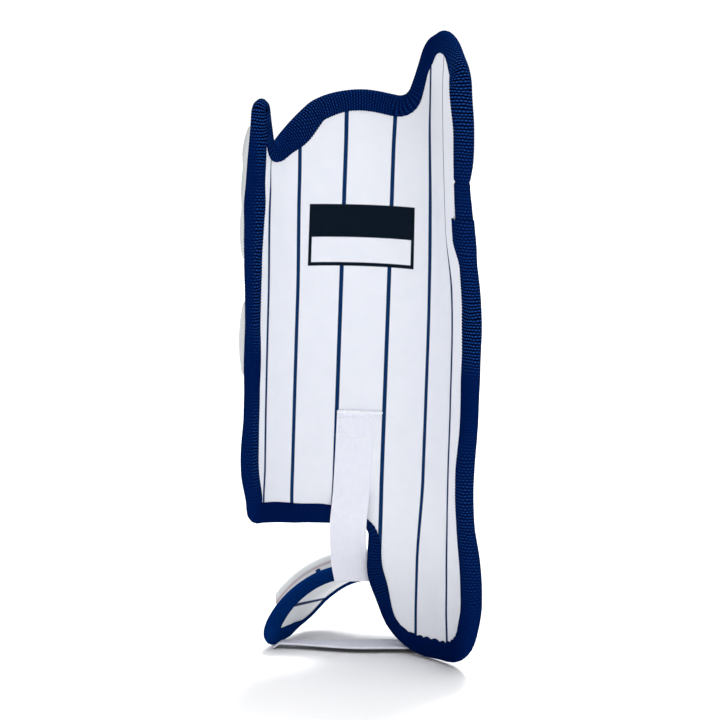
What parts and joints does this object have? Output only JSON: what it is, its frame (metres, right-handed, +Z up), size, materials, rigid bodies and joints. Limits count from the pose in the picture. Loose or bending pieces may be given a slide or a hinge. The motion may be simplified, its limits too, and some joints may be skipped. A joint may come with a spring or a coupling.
{
  "type": "leg guard",
  "caption": "Padded sports leg guard: a trough-shaped shin panel with taped edges, open towards the calf, and an arched foot guard hung from it on an elastic strap.",
  "frame": {"origin": "middle of the whole guard's footprint, on the floor", "axes": "+Z up the shin, +Y towards the toes, +X to the right when the guard is seen from the calf side"},
  "size_m": [0.1548, 0.1502, 0.407],
  "materials": {
    "lining": "smooth knit with dark blue pinstripes",
    "shell": "satin moulded pads",
    "binding": "ribbed woven tape",
    "elastic": "ribbed woven elastic"
  },
  "bodies": {
    "root": {"shin_lining": "lining", "shin_shell": "shell", "shin_binding": "binding", "connector_strap": "elastic", "foot_lining": "lining", "foot_shell": "shell", "foot_binding": "binding", "underfoot_strap": "elastic"}
  },
  "joints": []
}
